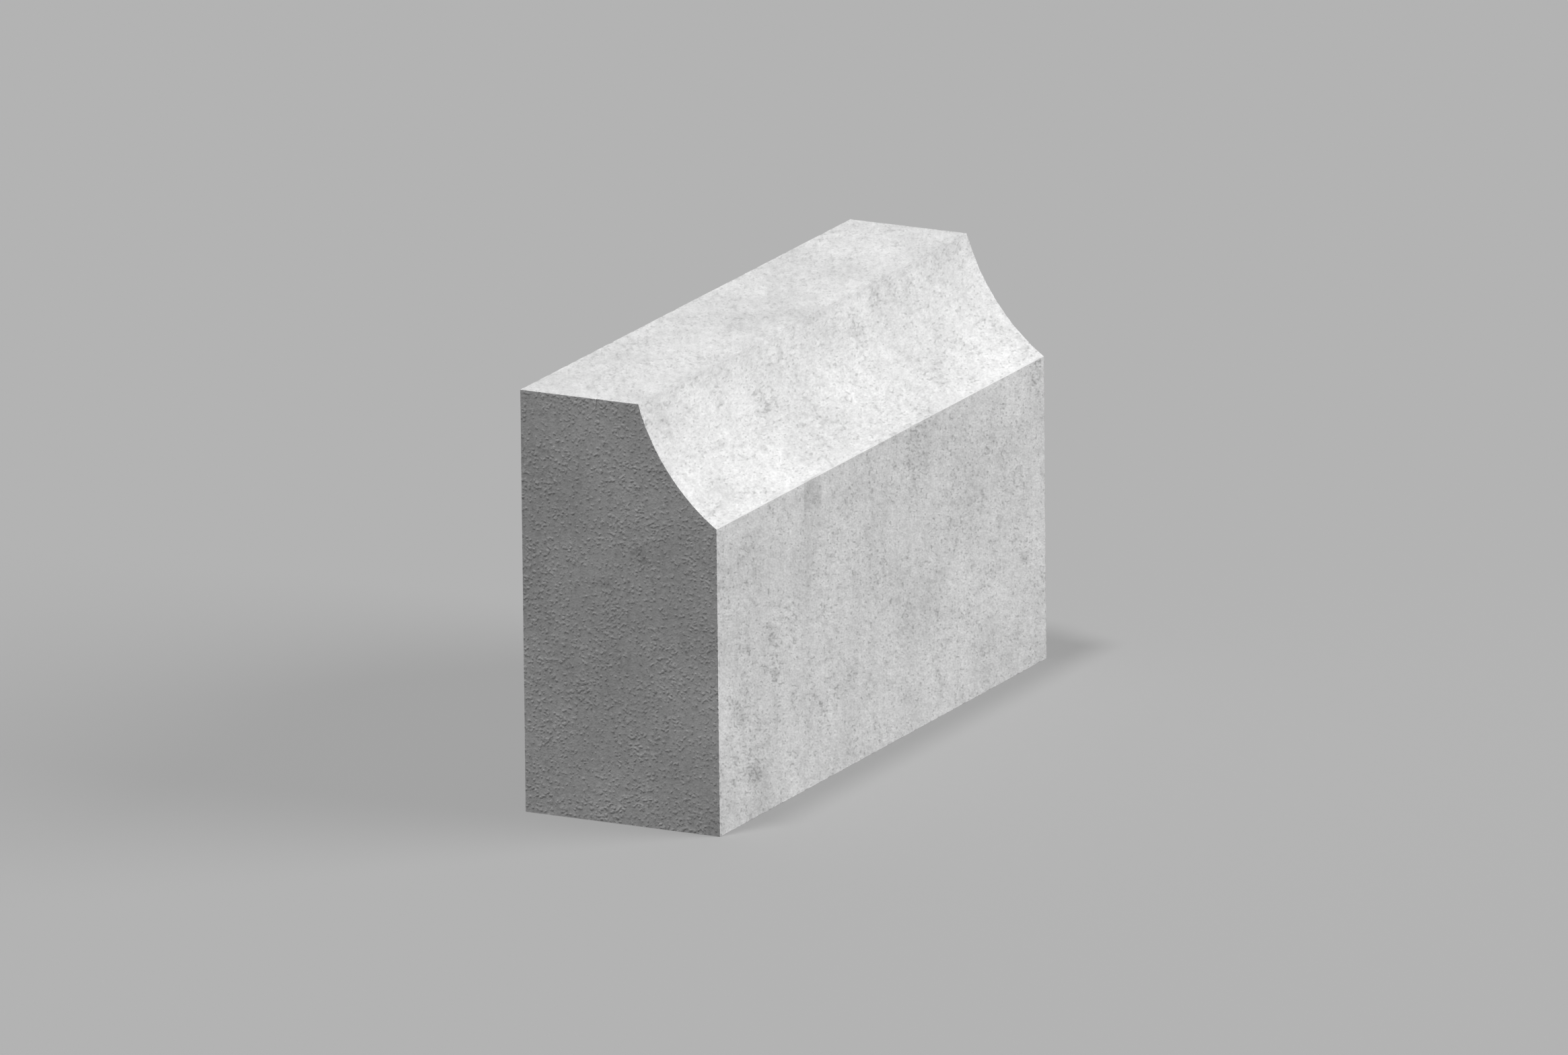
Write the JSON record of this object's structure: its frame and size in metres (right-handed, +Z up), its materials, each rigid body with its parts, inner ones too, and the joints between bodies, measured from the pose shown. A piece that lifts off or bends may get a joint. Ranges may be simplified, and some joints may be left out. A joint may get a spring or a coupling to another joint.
{
  "type": "curbstone",
  "caption": "Precast concrete curbstone: an upright block of constant section with a flat top and a concave cove on its road side, set on edge to border a road or pavement.",
  "frame": {"origin": "centre of the bed, the face that stands on the ground", "axes": "+X along the kerb line, -Y towards the road, +Z up"},
  "size_m": [0.5, 0.15, 0.3],
  "materials": {
    "concrete": "as-cast light grey concrete, matt, finely pitted"
  },
  "bodies": {
    "root": {"curbstone": "concrete"}
  },
  "joints": []
}
